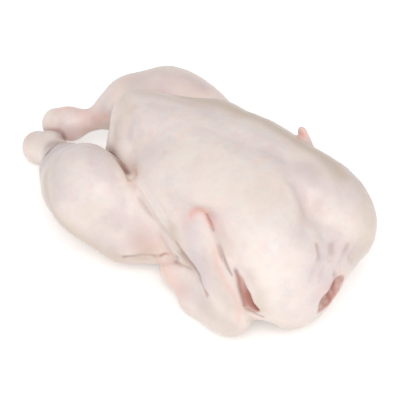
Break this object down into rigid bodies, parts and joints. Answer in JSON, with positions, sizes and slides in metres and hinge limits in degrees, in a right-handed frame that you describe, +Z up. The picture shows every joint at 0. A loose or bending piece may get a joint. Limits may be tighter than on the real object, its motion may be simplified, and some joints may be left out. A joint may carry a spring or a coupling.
{
  "type": "whole raw chicken",
  "caption": "Whole raw chicken lying on its back, breast up, with crossed legs and wings folded against its sides.",
  "frame": {"origin": "middle of the bird's base rectangle, at the height of the surface it lies on", "axes": "+X from the crossed ankles to the neck end, +Y to the bird's right side, +Z up through the breast"},
  "size_m": [0.3, 0.1728, 0.1117],
  "materials": {
    "skin": "moist, smooth raw poultry skin"
  },
  "bodies": {
    "root": {"chicken": "skin"}
  },
  "joints": []
}
